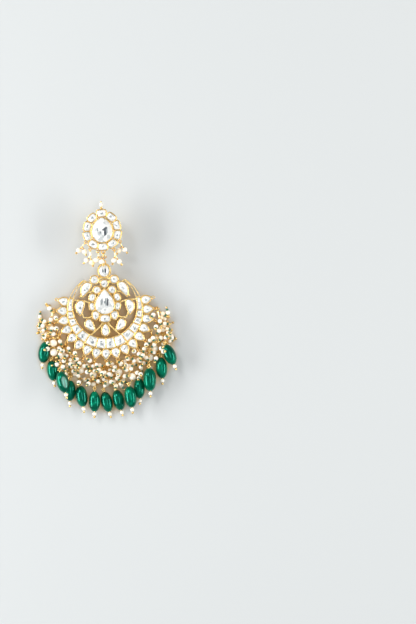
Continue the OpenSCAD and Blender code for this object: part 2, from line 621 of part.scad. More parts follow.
module finial_pearl() {
    along = stud_top + finial_length - (finial_ball_d + end_pearl_d) / 2 - rest_gap;
    color(pearl_white) place_stud() drilled_pearl([0, along, cup_depth / 2], end_pearl_d, [0, 1, 0]);
}

module stud_cluster_wires() {
    color(gold) for (d = stud_drops) {
        top = hooked(drop_ring(d), drop_knot(d));
        ring(top, cross(top - drop_ring(d), [0, 0, 1]), eye_r, wire_r);
        rod(ring_exit(top, drop_knot(d)), drop_knot(d), wire_r);
        knot(drop_knot(d));
        for (p = drop_pins(d)) pin(p);
    }
}

module stud_cluster_pearls() {
    color(pearl_white) for (d = stud_drops) for (p = drop_pins(d))
        drilled_pearl(p.y, stud_pearl_d, p.y - p.x);
}

module neck_links() {
    color(gold) {
        for (at = [jump_top, jump_low]) ring(at, link_side, jump_ring_r, jump_r);
        ring((jump_top + jump_low) / 2, cross(jump_low - jump_top, link_side), jump_ring_r, jump_r);
    }
}

// Pendant

module horn_wedge(reach) {
    polygon([[0, 0], polar_down(horn_angle, reach), [0, 2 * reach], polar_down(-horn_angle, reach)]);
}

module crescent_plan() {
    difference() {
        circle(crescent_r, $fn = 96);
        translate([0, window_rise]) circle(window_r, $fn = 96);
        horn_wedge(2 * crescent_r);
        both_sides() polygon(cell_outline(cell_edges[len(cell_edges) - 1], horn_slot_end, rail_w, wall));
    }
}

module pendant_plan() {
    offset(delta = 0) {
        crescent_plan();
        cups(small_cup_outlines, wall);
        cups([flower_centre_outline], wall);
        cups([neck_outline], neck_wall);
        both_sides() {
            for (v = vines) for (i = [1:len(v) - 1])
                bar(v[i - 1] * window_r + [0, window_rise], v[i] * window_r + [0, window_rise], vine_w);
            bar(shoulder_at, [0, neck_rise - neck_stone_l / 2], wall * 2);
            bar(shoulder_at, [0, flower_rise + flower_axis_petals[0].y * flower_stone_l], wall * 2);
        }
    }
}

module pendant_setting() {
    color(gold) place_pendant() {
        difference() {
            union() {
                linear_extrude(cup_depth) pendant_plan();
                linear_extrude(cup_depth + collar_rise) cups([flower_centre_outline], wall - collar_step);
                linear_extrude(cup_depth + collar_rise) cups([neck_outline], neck_wall - collar_step);
            }
            pockets(small_cup_outlines);
            pockets(cell_outlines);
            pockets([flower_centre_outline, neck_outline]);
        }
        for (n = [-pear_side:pear_side])
            ring(concat(polar_down(n * pear_pitch, pear_tip_r), cup_depth / 2), [0, 0, 1], eye_r, wire_r);
        ring([0, neck_top + eyelet_r * 0.5, cup_depth / 2], [0, 0, 1], eyelet_r, jump_r);
    }
}

module pendant_stones(outlines) {
    color(clear_stone) place_pendant() stones(outlines, cup_depth, stone_stand);
}

module neck_stone() {
    color(clear_stone) place_pendant() stones([neck_outline], cup_depth + collar_rise, big_stone_stand);
}

module flower_centre_stone() {
    color(clear_stone) place_pendant()
        stones([flower_centre_outline], cup_depth + collar_rise, big_stone_stand);
}

module shoulder_stones() {
    pendant_stones(shoulder_outlines);
}

module flower_petal_stones() {
    pendant_stones(petal_outlines);
}

module mango_stones() {
    pendant_stones(mango_outlines);
}

module keel_stone() {
    pendant_stones([keel_outline]);
}

module crescent_stones() {
    pendant_stones(cell_outlines);
}

module pear_stones() {
    pendant_stones(pear_outlines);
}

// Strands

module hanging_wire(k) {
    points = upper_wire(k);
    top = hooked(pear_ring(strands[k].x), stations(k)[0]);
    ring(top, cross(top - pear_ring(strands[k].x), [0, 0, 1]), eye_r, wire_r);
    wire(points);
    for (j = [0:len(strands[k].y) - 1]) knot(station_exit(k, j));
    for (p = strand_pins(k)) pin(p);
}

module strand_wire(k) {
    color(gold) {
        hanging_wire(k);
        low = hooked(bead_ring(k), station_exit(k, len(strands[k].y) - 1));
        ring(low, cross(low - bead_ring(k), [0, 0, 1]), eye_r, wire_r);
        ring(bead_ring(k), [0, 0, 1], eye_r, wire_r);
        rod(bead_ring(k) - bead_up(k) * eye_r, end_ball_at(k), wire_r);
        end_ball(end_ball_at(k), ball_d, bead_up(k));
    }
}

module strand_pearls(k) {
    color(pearl_white) {
        for (j = [0:len(strands[k].y) - 1]) if (strands[k].y[j].z != EYE)
            drilled_pearl(stations(k)[j], pearl_d[strands[k].y[j].z], station_way(k, j));
        for (p = strand_pins(k)) drilled_pearl(p.y, small_pearl_d, p.y - p.x);
        if (k < bead_count) drilled_pearl(end_pearl_at(k), end_pearl_d, bead_up(k));
    }
}

module drop_bead(k) {
    color(green_stone) translate(bead_at(k)) orient(bead_up(k)) difference() {
        rotate_extrude($fn = round_fn) polygon([for (i = [0:bead_steps]) let (t = 180 * i / bead_steps)
            [bead_d / 2 * bead_size(k) * sin(t), bead_l / 2 * bead_size(k) * cos(t)]]);
        cylinder(h = 2 * bead_l, r = hole_r, center = true, $fn = round_fn);
    }
}

module side_wires() {
    color(gold) for (k = [bead_count:len(strands) - 1]) hanging_wire(k);
}

module side_pearls() {
    for (k = [bead_count:len(strands) - 1]) strand_pearls(k);
}

place_all() {
    ear_post();
    stud_setting();
    stud_centre_stone();
    stud_petal_stones();
    finial_pearl();
    stud_cluster_wires();
    stud_cluster_pearls();
    neck_links();
    pendant_setting();
    neck_stone();
    shoulder_stones();
    flower_centre_stone();
    flower_petal_stones();
    mango_stones();
    keel_stone();
    crescent_stones();
    pear_stones();
    side_wires();
    side_pearls();
    for (k = [0:bead_count - 1]) {
        strand_wire(k);
        strand_pearls(k);
        drop_bead(k);
    }
}
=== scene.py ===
# Chandbali earring, lying face up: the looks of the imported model. Everything is in metres, with the
# stud towards +Y and the open air towards +Z.
import math
import random

import bmesh
import bpy
import numpy as np
from mathutils import Matrix, Vector
from mathutils.bvhtree import BVHTree
from mathutils.kdtree import KDTree


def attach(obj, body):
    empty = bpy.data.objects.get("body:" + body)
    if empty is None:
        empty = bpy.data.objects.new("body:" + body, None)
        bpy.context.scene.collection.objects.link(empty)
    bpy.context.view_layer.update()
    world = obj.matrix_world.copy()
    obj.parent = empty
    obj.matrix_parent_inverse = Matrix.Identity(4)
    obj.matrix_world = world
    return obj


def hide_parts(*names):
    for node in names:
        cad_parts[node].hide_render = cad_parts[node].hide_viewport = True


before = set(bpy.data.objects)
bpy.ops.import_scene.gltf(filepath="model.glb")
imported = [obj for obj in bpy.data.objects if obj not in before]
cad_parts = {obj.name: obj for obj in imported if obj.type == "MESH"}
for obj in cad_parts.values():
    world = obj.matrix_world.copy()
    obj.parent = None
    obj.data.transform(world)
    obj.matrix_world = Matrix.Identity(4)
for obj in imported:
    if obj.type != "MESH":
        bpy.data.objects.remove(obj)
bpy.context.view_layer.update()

# ---------------------------------------------------------------------------------------------
# Gold work: the two settings, the ear post, the jump rings and all wires are cast and hand-worked
# gilt brass, with warm and pale patches and fine tool marks, and a deep orange painted into every
# hollow as shade. They are CAD nodes and keep their shape.

WARM_GILT = (0.93, 0.62, 0.20, 1)
PALE_GILT = (0.98, 0.77, 0.36, 1)
HOLLOW_SHADE = (0.70, 0.38, 0.08, 1)
HOLLOW_REACH = 0.0008
GILT_PATCHES, TOOL_MARKS = 420, 2600      # noise scales: 2.4 mm and 0.4 mm across
MARK_DEPTH = 0.0001
MIX_LOW, MIX_HIGH, MIX_RESULT = 6, 7, 2   # the colour sockets of a Mix node
NOOK_SAMPLES = 6


def new_finish(name, values):
    """A material, its node tree and its shader's sockets, set to what is the same all over it"""
    material = bpy.data.materials.new(name)
    material.use_nodes = True
    sockets = material.node_tree.nodes["Principled BSDF"].inputs
    for socket, value in values.items():
        sockets[socket].default_value = value
    return material, material.node_tree, sockets


def new_group(name, inputs, outputs):
    """A node group, the values that it is given and the node that puts its own out"""
    tree = bpy.data.node_groups.new(name, "ShaderNodeTree")
    for way, sockets in (("INPUT", inputs), ("OUTPUT", outputs)):
        for socket, kind in sockets.items():
            tree.interface.new_socket(name=socket, in_out=way, socket_type="NodeSocket" + kind)
    return tree, tree.nodes.new("NodeGroupInput").outputs, tree.nodes.new("NodeGroupOutput").inputs


def set_or_link(tree, socket, value):
    if isinstance(value, bpy.types.NodeSocket):
        tree.links.new(value, socket)
    else:
        socket.default_value = value


def placed_group(tree, group, values):
    """A node group in a material, with the material's own values"""
    node = tree.nodes.new("ShaderNodeGroup")
    node.node_tree = group
    for socket, value in values.items():
        set_or_link(tree, node.inputs[socket], value)
    return node.outputs


def cloudy(tree, scale, detail=2, distortion=0):
    """Soft noise that stays on the piece"""
    at, cloud = tree.nodes.new("ShaderNodeTexCoord"), tree.nodes.new("ShaderNodeTexNoise")
    for socket, value in (("Scale", scale), ("Detail", detail), ("Distortion", distortion)):
        cloud.inputs[socket].default_value = value
    tree.links.new(at.outputs["Object"], cloud.inputs["Vector"])
    return cloud.outputs["Fac"]


def toned(tree, value, *stops):
    """Colours at their places along a value"""
    tone = tree.nodes.new("ShaderNodeValToRGB")
    elements = tone.color_ramp.elements
    elements[0].position, elements[0].color = stops[0]
    elements[1].position, elements[1].color = stops[-1]
    for place, colour in stops[1:-1]:
        elements.new(place).color = colour
    tree.links.new(value, tone.inputs["Fac"])
    return tone.outputs["Color"]


def ranged(tree, value, limits):
    spread = tree.nodes.new("ShaderNodeMapRange")
    for socket, limit in limits.items():
        spread.inputs[socket].default_value = limit
    tree.links.new(value, spread.inputs["Value"])
    return spread.outputs["Result"]


def mixed(tree, share, low, high):
    """The low colour where the share is 0, and the high one where it is 1"""
    mix = tree.nodes.new("ShaderNodeMix")
    mix.data_type = "RGBA"
    tree.links.new(share, mix.inputs[0])
    set_or_link(tree, mix.inputs[MIX_LOW], low)
    set_or_link(tree, mix.inputs[MIX_HIGH], high)
    return mix.outputs[MIX_RESULT]


def relief(tree, height, strength, depth):
    """Fine relief from a height, as the shader's normal"""
    bump = tree.nodes.new("ShaderNodeBump")
    bump.inputs["Strength"].default_value = strength
    bump.inputs["Distance"].default_value = depth
    tree.links.new(height, bump.inputs["Height"])
    tree.links.new(bump.outputs["Normal"], tree.nodes["Principled BSDF"].inputs["Normal"])


def painted_nook_shade():
    """Painted shade: open surfaces keep their colour, and those within reach of another turn to the nook's colour"""
    tree, given, out = new_group("painted_nook_shade", {"Open": "Color", "Nook": "Color", "Reach": "Float"},
                                 {"Color": "Color"})
    nook = tree.nodes.new("ShaderNodeAmbientOcclusion")
    nook.samples = NOOK_SAMPLES
    tree.links.new(given["Reach"], nook.inputs["Distance"])
    tree.links.new(mixed(tree, nook.outputs["AO"], given["Nook"], given["Open"]), out["Color"])
    return tree


def worked_gilt():
    """Warm and pale patches, and tool marks that roughen the shine and stand in relief"""
    tree, _, out = new_group("worked_gilt", {}, {"Color": "Color", "Roughness": "Float", "Height": "Float"})
    patches, marks = cloudy(tree, GILT_PATCHES, 3), cloudy(tree, TOOL_MARKS, 4)
    tree.links.new(toned(tree, patches, (0.3, WARM_GILT), (0.7, PALE_GILT)), out["Color"])
    tree.links.new(ranged(tree, marks, {"To Min": 0.16, "To Max": 0.36}), out["Roughness"])
    tree.links.new(marks, out["Height"])
    return tree


nooks, gilt = painted_nook_shade(), worked_gilt()


def gold_finish(name, mark_strength):
    material, tree, sockets = new_finish(name, {"Metallic": 1})
    worked = placed_group(tree, gilt, {})
    # Hollows near other gold are painted shade in deep orange
    tinted = placed_group(tree, nooks, {"Open": worked["Color"], "Nook": HOLLOW_SHADE, "Reach": HOLLOW_REACH})
    tree.links.new(tinted["Color"], sockets["Base Color"])
    tree.links.new(worked["Roughness"], sockets["Roughness"])
    relief(tree, worked["Height"], mark_strength, MARK_DEPTH)
    return material


cast_gold, drawn_gold = gold_finish("cast_gold", 0.7), gold_finish("drawn_gold", 0.2)
wire_nodes = [name for name in sorted(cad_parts) if "wire" in name]
for names, gold in ((["stud_setting", "pendant_setting"], cast_gold),
                    (wire_nodes + ["ear_post", "neck_links"], drawn_gold)):
    for name in names:
        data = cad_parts[name].data
        data.materials.clear()
        data.materials.append(gold)

# ---------------------------------------------------------------------------------------------
# Stones: colourless foil-backed glass, white, with painted reflections: a painted shade on each facet
# and a few small grey and dark slivers. Each is cut anew over its CAD stone: a straight girdle in its
# cup, a crown of kites and stars, and a table that is split by the flat painted reflections. A facet's
# painted shade is an attribute of its face.

PENDANT_TILT = math.radians(4)
STUD_UP, PENDANT_UP = Vector((0, 0, 1)), Vector((0, -math.sin(PENDANT_TILT), math.cos(PENDANT_TILT)))
FOIL_STIR, STIR_SHARE = 1500, 0.3         # its noise scale, 0.7 mm across, and how much of it shows
CROWN_REACH, CROWN_HEIGHT = 0.83, 0.56    # the crown's corners, from the middle out and from the edge up
# Painted shades of the faces, which stand in for their reflections
WALL_SHADE, BACK_SHADE, TABLE_SHADE = 0.5, 0.35, 0.8
KITE_SHADES, STAR_SHADES = (0.88, 0.74, 0.62, 0.84), (0.9, 0.82, 0.62)
GIRDLE_SHADES = ((0.86, 0.66, 0.9), (0.8, 0.56, 0.9))
TABLE_TILT = 0.00004
LEVEL_GAP = 0.0001                        # the CAD stone's rings lie further apart than this


def loose_solids(node):
    """The corners, and the faces' normals, middles and areas, of each loose solid of a CAD node"""
    bm = bmesh.new()
    bm.from_mesh(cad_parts[node].data)
    bmesh.ops.remove_doubles(bm, verts=bm.verts, dist=1e-6)
    bm.normal_update()
    bm.faces.index_update()
    found, seen = [], set()
    for start in bm.verts:
        if start in seen:
            continue
        solid, todo = [], [start]
        seen.add(start)
        while todo:
            vert = todo.pop()
            solid.append(vert)
            for edge in vert.link_edges:
                other = edge.other_vert(vert)
                if other not in seen:
                    seen.add(other)
                    todo.append(other)
        faces = sorted({face for vert in solid for face in vert.link_faces}, key=lambda face: face.index)
        found.append(([vert.co.copy() for vert in solid],
                      [(face.normal.copy(), face.calc_center_median(), face.calc_area()) for face in faces]))
    bm.free()
    return found


def piece_of(name, bm, material, slot, *nodes, smooth=True):
    bmesh.ops.recalc_face_normals(bm, faces=bm.faces)
    for face in bm.faces:
        face.smooth = smooth
    data = bpy.data.meshes.new(name)
    bm.to_mesh(data)
    bm.free()
    data.materials.append(material)
    piece = bpy.data.objects.new(name, data)
    bpy.context.scene.collection.objects.link(piece)
    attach(piece, "root")
    if nodes:
        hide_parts(*nodes)


def foil_glass():
    material, tree, sockets = new_finish("foil_glass", {
        "Roughness": 0.12, "Coat Weight": 1, "Coat Roughness": 0.02, "IOR": 1.55})
    shade, stirred = tree.nodes.new("ShaderNodeAttribute"), tree.nodes.new("ShaderNodeMath")
    shade.attribute_name = "shade"
    # The foil's fine stir behind each facet is added to the facet's painted shade
    stirred.operation = "MULTIPLY_ADD"
    tree.links.new(cloudy(tree, FOIL_STIR, 3), stirred.inputs[0])
    stirred.inputs[1].default_value = STIR_SHARE
    tree.links.new(shade.outputs["Fac"], stirred.inputs[2])
    tones = toned(tree, stirred.outputs["Value"],
                  (0.2, (0.03, 0.04, 0.055, 1)), (0.5, (0.20, 0.235, 0.25, 1)), (0.72, (0.50, 0.53, 0.53, 1)),
                  (0.86, (0.76, 0.78, 0.77, 1)), (1.0, (0.93, 0.935, 0.92, 1)))
    tree.links.new(tones, sockets["Base Color"])
    return material


def outline_rings(points, up):
    """The low, edge and table rings of a CAD stone, each in order round its middle"""
    points = sorted(points, key=lambda p: p.dot(up))
    rings = [[points[0]]]
    for p in points[1:]:
        if p.dot(up) - rings[-1][-1].dot(up) > LEVEL_GAP:
            rings.append([])
        rings[-1].append(p)
    side = up.orthogonal().normalized()
    other = up.cross(side)
    ordered = []
    for ring in rings:
        centre = sum(ring, Vector()) / len(ring)
        ordered.append(sorted(ring, key=lambda p: math.atan2((p - centre).dot(other), (p - centre).dot(side))))
    return ordered[0], ordered[1], ordered[-1]


def split_table(bm, table, up, along, patches, middle):
    """Cuts the table along the outlines of its patches, and shades the faces inside them"""
    across = along.cross(up)
    region = {table}
    for corners, _ in patches:
        spots = [middle + across * x + along * y for x, y in corners]
        for a, b in zip(spots, spots[1:] + spots[:1]):
            edges = {edge for face in region for edge in face.edges}
            verts = {vert for face in region for vert in face.verts}
            cut = bmesh.ops.bisect_plane(bm, geom=[*region, *edges, *verts], plane_co=a,
                                         plane_no=(b - a).cross(up), dist=1e-7)
            region = {g for g in cut["geom"] if isinstance(g, bmesh.types.BMFace)}
    shade = bm.faces.layers.float["shade"]
    for face in region:
        spot = face.calc_center_median() - middle
        x, y = spot.dot(across), spot.dot(along)
        for corners, value in patches:
            turns = [(b[0] - a[0]) * (y - a[1]) - (b[1] - a[1]) * (x - a[0])
                     for a, b in zip(corners, corners[1:] + corners[:1])]
            if min(turns) > 0 or max(turns) < 0:
                face[shade] = value
    return region


def free_patches(wide, long, chance, dark):
    """A small stone's table, from its half width and half length, with painted reflections: a pale sweep
    down one side, then grey reflections, then two dark slivers"""
    x = chance.uniform(-0.3, 0.3) * wide
    patches = [([(x - wide, -long), (x, -long), (x + wide * 0.3, long), (x - wide, long)],
                chance.uniform(0.7, 0.78))]
    for reach, width, value in ((0.65, 0.3, 0.62), (0.5, 0.26, 0.5), (0.3, 0.13, 0.44), (0.34, 0.12, 0.5),
                                (0.26, 0.14, 0.38), (0.58, 0.18, dark + 0.08), (0.44, 0.14, dark - 0.08)):
        x, y = chance.uniform(-0.4, 0.4) * wide, chance.uniform(-0.45, 0.45) * long
        turn, reach, width = chance.uniform(0.9, 2.6), reach * wide, width * wide
        c, s = math.cos(turn), math.sin(turn)
        patches.append(([(x + c * u * reach - s * v * width, y + s * u * reach + c * v * width)
                         for u, v in ((-1, -0.4), (0.3, -1), (1, 0.2), (-0.2, 1))],
                        value + chance.uniform(-0.08, 0.08)))
    return patches


def cut_stone(bm, points, up, chance, patches, dark):
    low, edge, table = outline_rings(points, up)
    shade = bm.faces.layers.float["shade"]
    count = len(edge)
    middle = sum(table, Vector()) / count
    floor = sum(edge, Vector()) / count
    step = 2 if count % 2 == 0 else 1
    rings = [[bm.verts.new(p) for p in ring] for ring in (low, edge)]
    crown = []
    for i in range(1 if step == 2 else 0, count, step):
        spot = floor + (edge[i] - floor) * CROWN_REACH
        crown.append(bm.verts.new(spot + up * (middle - floor).dot(up) * CROWN_HEIGHT))
    top = [bm.verts.new(table[i]) for i in range(0, count, step)]

    def facet(verts, value):
        face = bm.faces.new(verts)
        face[shade] = value
        return face

    for i in range(count):
        j = (i + 1) % count
        facet((rings[0][i], rings[0][j], rings[1][j], rings[1][i]), WALL_SHADE)
    facet(list(reversed(rings[0])), BACK_SHADE)
    number = len(top)
    for i in range(number):
        before, after = (i - 1) % number, (i + 1) % number
        outer = rings[1][step * i]
        halfway, following = rings[1][(step * i + step - 1) % count], rings[1][(step * (i + 1)) % count]
        # The kite, the two girdle facets and the star
        facet((outer, crown[i], top[i], crown[before]), chance.choice(KITE_SHADES))
        facet((outer, halfway, crown[i]), chance.choice(GIRDLE_SHADES[0]))
        facet((halfway, following, crown[i]), chance.choice(GIRDLE_SHADES[1]))
        facet((top[i], crown[i], top[after]), chance.choice(STAR_SHADES))
    flat = facet(top, TABLE_SHADE)
    if patches is None:
        # The longest way across the table is the stone's length
        far = max(table, key=lambda p: (p - middle).length)
        along = (far - middle).normalized()
        across = along.cross(up)
        wide = max(abs((p - middle).dot(across)) for p in table)
        patches = free_patches(wide, (far - middle).length, chance, dark)
    else:
        along = up.cross(Vector((1, 0, 0))).normalized()
        patches = [([(x / 1000, y / 1000) for x, y in corners], value) for corners, value in patches]
    region = split_table(bm, flat, up, along, patches, middle)
    # The table isn't quite flat: each painted reflection lies at its own small tilt
    inner = {vert for face in region for vert in face.verts} - set(top)
    for vert in bm.verts:
        if vert in inner and all(face in region for face in vert.link_faces):
            vert.co -= up * chance.uniform(0, TABLE_TILT)


glass = foil_glass()


def stone_piece(name, nodes, up, seed, patches=None, dark=0.2):
    bm = bmesh.new()
    bm.faces.layers.float.new("shade")
    chance = random.Random(seed)
    for node in nodes:
        for points, _ in loose_solids(node):
            cut_stone(bm, points, up, chance, patches, dark)
    piece_of(name, bm, glass, "set_stone", *nodes, smooth=False)


# The stud's centre stone has painted reflections: a dark hook right of its middle and grey spots in its
# lower half; patches are in millimetres from the table's middle, across and along, each with its shade.
stone_piece("cut_stud_centre_stone", ["stud_centre_stone"], STUD_UP, 3, [
    ([(-2.8, 0.2), (-1.9, -0.4), (-0.4, -0.1), (1.2, 0.7), (2.8, 1.2), (2.8, -3.8), (-2.8, -3.8)], 0.66),
    ([(-2.5, 0.9), (-2.2, 1.1), (-1.7, -0.2), (-2.0, -0.9), (-2.4, -0.4)], 0.4),
    ([(-1.8, -0.7), (-0.5, -0.3), (-0.2, -1.6), (-0.9, -2.5), (-1.9, -2.0)], 0.56),
    ([(-1.1, -0.9), (-0.5, -0.8), (-0.4, -1.5), (-1.0, -1.7)], 0.28),
    ([(-0.1, 0.1), (1.7, 1.5), (2.2, 1.3), (2.5, 0.8), (1.2, -0.1), (0.4, -0.4)], 0.12),
    ([(0.6, 0.2), (1.6, 0.4), (1.9, -2.3), (1.0, -2.9), (0.6, -2.6), (0.8, -1.2)], 0.05),
    ([(1.6, 0.2), (2.4, 0.6), (2.6, -1.2), (1.9, -2.2)], 0.42),
    ([(-0.1, -2.4), (0.6, -2.5), (0.9, -3.3), (0.1, -3.1)], 0.5)])
stone_piece("cut_stud_petals", ["stud_petal_stones"], STUD_UP, 11)

# ---------------------------------------------------------------------------------------------
# The pendant's stones lie 4 degrees off level with their setting. The flower's centre stone has two
# upright strokes of painted reflection, and the neck stone a dark one beside a fainter one. The others'
# painted reflections are free.

stone_piece("cut_flower_centre_stone", ["flower_centre_stone"], PENDANT_UP, 5, [
    ([(-2.5, -0.8), (-0.6, 0.3), (0.6, 0.2), (2.5, 1.0), (2.5, -2.8), (-2.5, -2.8)], 0.64),
    ([(-2.0, 0.8), (-1.4, 1.3), (-0.8, -0.2), (-1.2, -1.6), (-1.9, -1.2)], 0.42),
    ([(-1.6, 1.9), (-1.2, 2.0), (-0.7, 0.1), (-1.1, -0.3)], 0.4),
    ([(-0.4, 0.1), (0.1, 0.4), (0.4, -0.7), (-0.1, -0.9)], 0.3),
    ([(0.0, 1.5), (0.7, 1.7), (1.1, -1.6), (0.4, -2.0)], 0.4),
    ([(0.9, 1.8), (1.6, 1.5), (1.7, -1.5), (1.1, -2.1)], 0.02),
    ([(1.3, 2.3), (1.9, 1.1), (2.0, 0.4), (1.3, 1.0)], 0.34)])
stone_piece("cut_neck_stone", ["neck_stone"], PENDANT_UP, 6, [
    ([(-1.3, -1.5), (0.9, -1.5), (1.2, 0.2), (-0.1, 1.3), (-1.2, 1.0)], 0.66),
    ([(-0.9, 0.8), (-0.4, 1.0), (-0.3, -0.7), (-0.8, -0.8)], 0.32),
    ([(-0.3, 0.3), (0.1, 0.4), (0.1, -0.3), (-0.2, -0.4)], 0.4),
    ([(0.2, 1.1), (0.9, 1.2), (1.0, -0.8), (0.35, -0.9)], 0.05)])
stone_piece("cut_shoulder_stones", ["shoulder_stones"], PENDANT_UP, 21)
stone_piece("cut_flower_petals", ["flower_petal_stones"], PENDANT_UP, 22)
stone_piece("cut_mangos", ["mango_stones", "keel_stone"], PENDANT_UP, 23)
stone_piece("cut_crescent_stones", ["crescent_stones"], PENDANT_UP, 24, dark=0.33)
stone_piece("cut_pears", ["pear_stones"], PENDANT_UP, 25, dark=0.3)

# ---------------------------------------------------------------------------------------------
# Bezels: the edge of each cup is rubbed over its stone, so a soft, slightly uneven bead of bright
# gold runs round every stone, half a millimetre thick.

BEZEL_RADIUS, BEZEL_SIDES = 0.00024, 8
BEZEL_OUT, BEZEL_UP = 0.00028, 0.00013    # its middle, from the stone's edge
CORNER_CUT = 0.22                         # the share of each edge at which the bead turns the corner


def bezel(bm, points, up, chance):
    """Round sections along a stone's edge, joined into one closed bead"""
    _, edge, _ = outline_rings(points, up)
    line = []
    for a, b in zip(edge, edge[1:] + edge[:1]):
        line += [a.lerp(b, CORNER_CUT), a.lerp(b, 1 - CORNER_CUT)]
    sections = []
    for i, spot in enumerate(line):
        way = (line[(i + 1) % len(line)] - line[i - 1]).normalized()
        out = way.cross(up)
        thick = BEZEL_RADIUS * chance.uniform(0.86, 1.1)
        hub = spot + out * BEZEL_OUT + up * BEZEL_UP
        sections.append([bm.verts.new(hub + out * thick * math.cos(t) + up * thick * math.sin(t))
                         for t in [math.tau * k / BEZEL_SIDES for k in range(BEZEL_SIDES)]])
    for a, b in zip(sections, sections[1:] + sections[:1]):
        for k in range(BEZEL_SIDES):
            after = (k + 1) % BEZEL_SIDES
            bm.faces.new((a[k], a[after], b[after], b[k]))


rim_gold = gold_finish("rim_gold", 0.35)
for name, nodes, up in (
        ("stud_bezels", ("stud_centre_stone", "stud_petal_stones"), STUD_UP),
        ("pendant_bezels", ("neck_stone", "shoulder_stones", "flower_centre_stone", "flower_petal_stones",
                            "mango_stones", "keel_stone", "crescent_stones", "pear_stones"), PENDANT_UP)):
    bm = bmesh.new()
    chance = random.Random(name)
    for node in nodes:
        for points, _ in loose_solids(node):
            bezel(bm, points, up, chance)
    piece_of(name, bm, rim_gold, "gold")

# ---------------------------------------------------------------------------------------------
# Pearls: drilled shell pearls, 1.9 to 3.5 mm, cream white with a soft skin. Each is spun anew round
# its own bore, a little off round.

BORE = 0.00026
PEARL_BANDS, PEARL_SIDES = 14, 24
PEARL_CLOUDS, PEARL_SKIN = 210, 2400      # noise scales: 5 mm and 0.4 mm across
SKIN_DEPTH = 0.00004
HONEY_SHADE = (1.0, 0.74, 0.38, 1)
CROWD_REACH = 0.0017


def shell_pearl():
    # A faint glow stands for the light that a pearl's layers scatter
    material, tree, sockets = new_finish("shell_pearl", {
        "Roughness": 0.3, "Coat Weight": 0.8, "Coat Roughness": 0.08,
        "Sheen Weight": 0.6, "Sheen Roughness": 0.35, "Sheen Tint": (1, 0.8, 0.52, 1),
        "Emission Color": (1, 0.88, 0.68, 1), "Emission Strength": 0.07})
    cream = toned(tree, cloudy(tree, PEARL_CLOUDS, 1),
                  (0.3, (1.0, 0.88, 0.68, 1)), (0.42, (1.0, 0.945, 0.81, 1)), (0.6, (1.0, 0.975, 0.90, 1)))
    # Where pearls crowd together and round their wires a honey yellow is painted in, as shade and as the gold's
    # reflected light
    crowd_shade = placed_group(tree, nooks, {"Open": cream, "Nook": HONEY_SHADE, "Reach": CROWD_REACH})
    tree.links.new(crowd_shade["Color"], sockets["Base Color"])
    relief(tree, cloudy(tree, PEARL_SKIN), 0.05, SKIN_DEPTH)
    return material


def join_part(bm, part):
    data = bpy.data.meshes.new("part")
    part.to_mesh(data)
    part.free()
    bm.from_mesh(data)
    bpy.data.meshes.remove(data)


def turned_solid(bm, profile, sides, place, squeeze=0.0):
    """A closed profile of (radius, along) spun round the z axis of its place"""
    part = bmesh.new()
    line = [part.verts.new((radius, 0, along)) for radius, along in profile]
    edges = [part.edges.new(pair) for pair in zip(line, line[1:] + line[:1])]
    bmesh.ops.spin(part, geom=line + edges, cent=(0, 0, 0), axis=(0, 0, 1), angle=math.tau, steps=sides,
                   use_merge=True)
    bmesh.ops.transform(part, matrix=place @ Matrix.Diagonal((1 - squeeze, 1, 1, 1)), verts=part.verts)
    join_part(bm, part)


def drilled(points, faces):
    """Middle, bore axis, radius and half length of a drilled round solid"""
    low = Vector([min(p[i] for p in points) for i in range(3)])
    high = Vector([max(p[i] for p in points) for i in range(3)])
    middle = (low + high) / 2
    # The bore's walls face the middle, and their normals spread least along its axis
    spread = np.zeros((3, 3))
    for normal, centre, area in faces:
        if normal.dot(centre - middle) < 0:
            spread += area * np.outer(normal, normal)
    axis = Vector(np.linalg.eigh(spread)[1][:, 0]).normalized()
    lengths = [(p - middle).dot(axis) for p in points]
    radius = max(((p - middle) - axis * h).length for p, h in zip(points, lengths))
    return middle, axis, radius, max(lengths)


def place_on(middle, axis):
    return Matrix.Translation(middle) @ axis.to_track_quat("Z", "Y").to_matrix().to_4x4()


def bead_profile(radius, half, bore, bands, power=1.0):
    """Half an ellipse from one end of the bore to the other, closed by the bore"""
    first = math.asin(min(1, bore / radius))
    line = []
    for i in range(bands + 1):
        t = first + (math.pi - 2 * first) * i / bands
        line.append((radius * math.sin(t) ** power, half * math.cos(t)))
    line[0], line[-1] = (bore, line[0][1]), (bore, line[-1][1])
    return line


nacre = shell_pearl()
pearls = {}
for node in [name for name in sorted(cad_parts) if "pearl" in name]:
    bm = bmesh.new()
    chance = random.Random(node)
    for points, faces in loose_solids(node):
        middle, axis, radius, _ = drilled(points, faces)
        pearls.setdefault(node, []).append((middle, axis, radius))
        place = place_on(middle, axis) @ Matrix.Rotation(chance.uniform(0, math.tau), 4, "Z")
        profile = bead_profile(radius, radius * chance.uniform(0.97, 1.0), BORE, PEARL_BANDS)
        turned_solid(bm, profile, PEARL_SIDES, place, chance.uniform(0, 0.035))
    piece_of("spun_" + node, bm, nacre, "pearl", node)

# ---------------------------------------------------------------------------------------------
# Head pins: between a small pearl of a strand and the gold ball that ends its pin sits a green glass
# seed bead. On the other side the pin's wire is wrapped round itself in two and a half turns, and a
# big pearl has a wrap on both sides. A ball is found by its many corner points.

